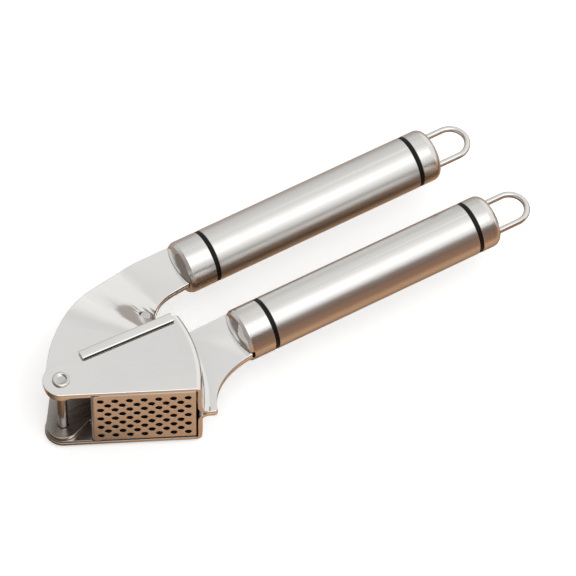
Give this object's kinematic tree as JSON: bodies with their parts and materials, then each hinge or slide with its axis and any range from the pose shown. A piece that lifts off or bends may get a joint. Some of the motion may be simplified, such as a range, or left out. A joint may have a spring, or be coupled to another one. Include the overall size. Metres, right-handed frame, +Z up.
{
  "type": "garlic press",
  "caption": "Hinged steel garlic press with a perforated basket, a pressing lever on a riveted pin and brushed tubular handles with wire hanging loops.",
  "frame": {"origin": "centre of the bounding box's underside, with the closed press lying on its side", "axes": "+X along the handles, from the pivot towards the hanging loops; +Y from the basket lever towards the pressing lever; +Z up along the pivot pin"},
  "size_m": [0.2026, 0.0724, 0.037],
  "materials": {
    "polished_sheet": "mirror polished",
    "sieve_sheet": "bright",
    "pin_steel": "bright",
    "satin_cap": "satin side, polished end",
    "brushed_grip": "satin, brushed round the tube",
    "wire": "bright drawn wire",
    "black_ring": "satin black"
  },
  "bodies": {
    "basket_lever": {"basket_frame_upper": "polished_sheet", "basket_frame_lower": "polished_sheet", "sieve_insert": "sieve_sheet", "pivot_pin": "pin_steel", "basket_front_cap": "satin_cap", "basket_front_ring": "black_ring", "basket_grip_tube": "brushed_grip", "basket_rear_ring": "black_ring", "basket_rear_cap": "satin_cap", "basket_hanging_loop": "wire"},
    "pressing_lever": {"press_lever_upper": "polished_sheet", "press_lever_lower": "polished_sheet", "presser": "polished_sheet", "lever_spacer_pin": "pin_steel", "press_front_cap": "satin_cap", "press_front_ring": "black_ring", "press_grip_tube": "brushed_grip", "press_rear_ring": "black_ring", "press_rear_cap": "satin_cap", "press_hanging_loop": "wire"}
  },
  "joints": [
    {"name": "lever_hinge", "type": "hinge", "parent": "basket_lever", "child": "pressing_lever", "pos_m": [-0.09453, -0.00561, 0.0185], "axis": [0, 0, 1], "range_deg": [0, 150]}
  ]
}
